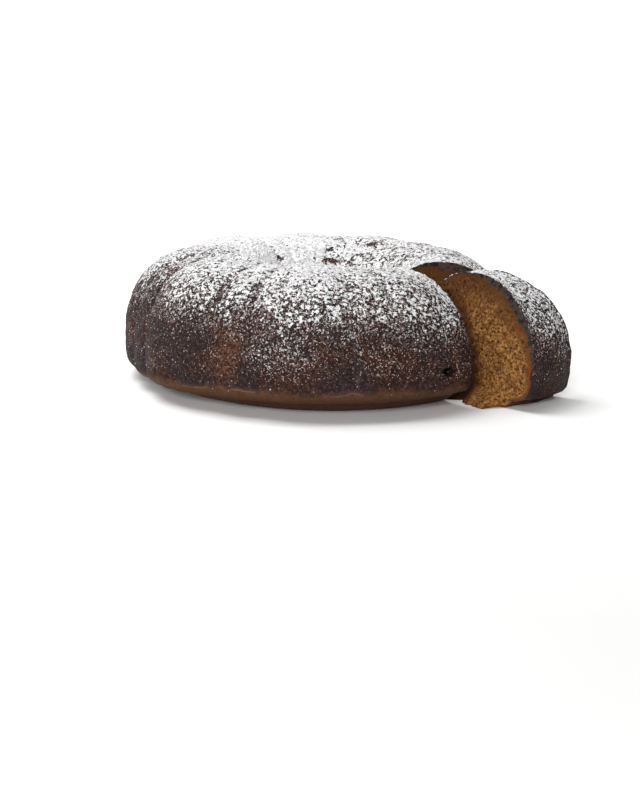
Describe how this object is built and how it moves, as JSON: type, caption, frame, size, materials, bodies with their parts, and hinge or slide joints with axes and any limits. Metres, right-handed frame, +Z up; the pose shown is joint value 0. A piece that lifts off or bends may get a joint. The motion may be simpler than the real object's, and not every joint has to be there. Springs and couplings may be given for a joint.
{
  "type": "plum bundt cake",
  "caption": "Fluted ring cake with a dark plum crust and golden crumb, dusted with icing sugar, with one slice cut and drawn part of the way out.",
  "frame": {"origin": "On the table plane, under the middle of the whole cake's outer box. The ring's own axis is vertical at x -0.0084, y -0.0004.", "axes": "+Z up. +X along the cake's longest extent, towards the side where the slice is drawn out. -Y is the front, from which the slice's cut face is seen."},
  "size_m": [0.2638, 0.245, 0.0791],
  "materials": {
    "browned_crust": "matte",
    "cake_crumb": "matte",
    "icing_sugar": "matte"
  },
  "bodies": {
    "root": {"cake_ring": "browned_crust", "cake_slice": "cake_crumb"}
  },
  "joints": []
}
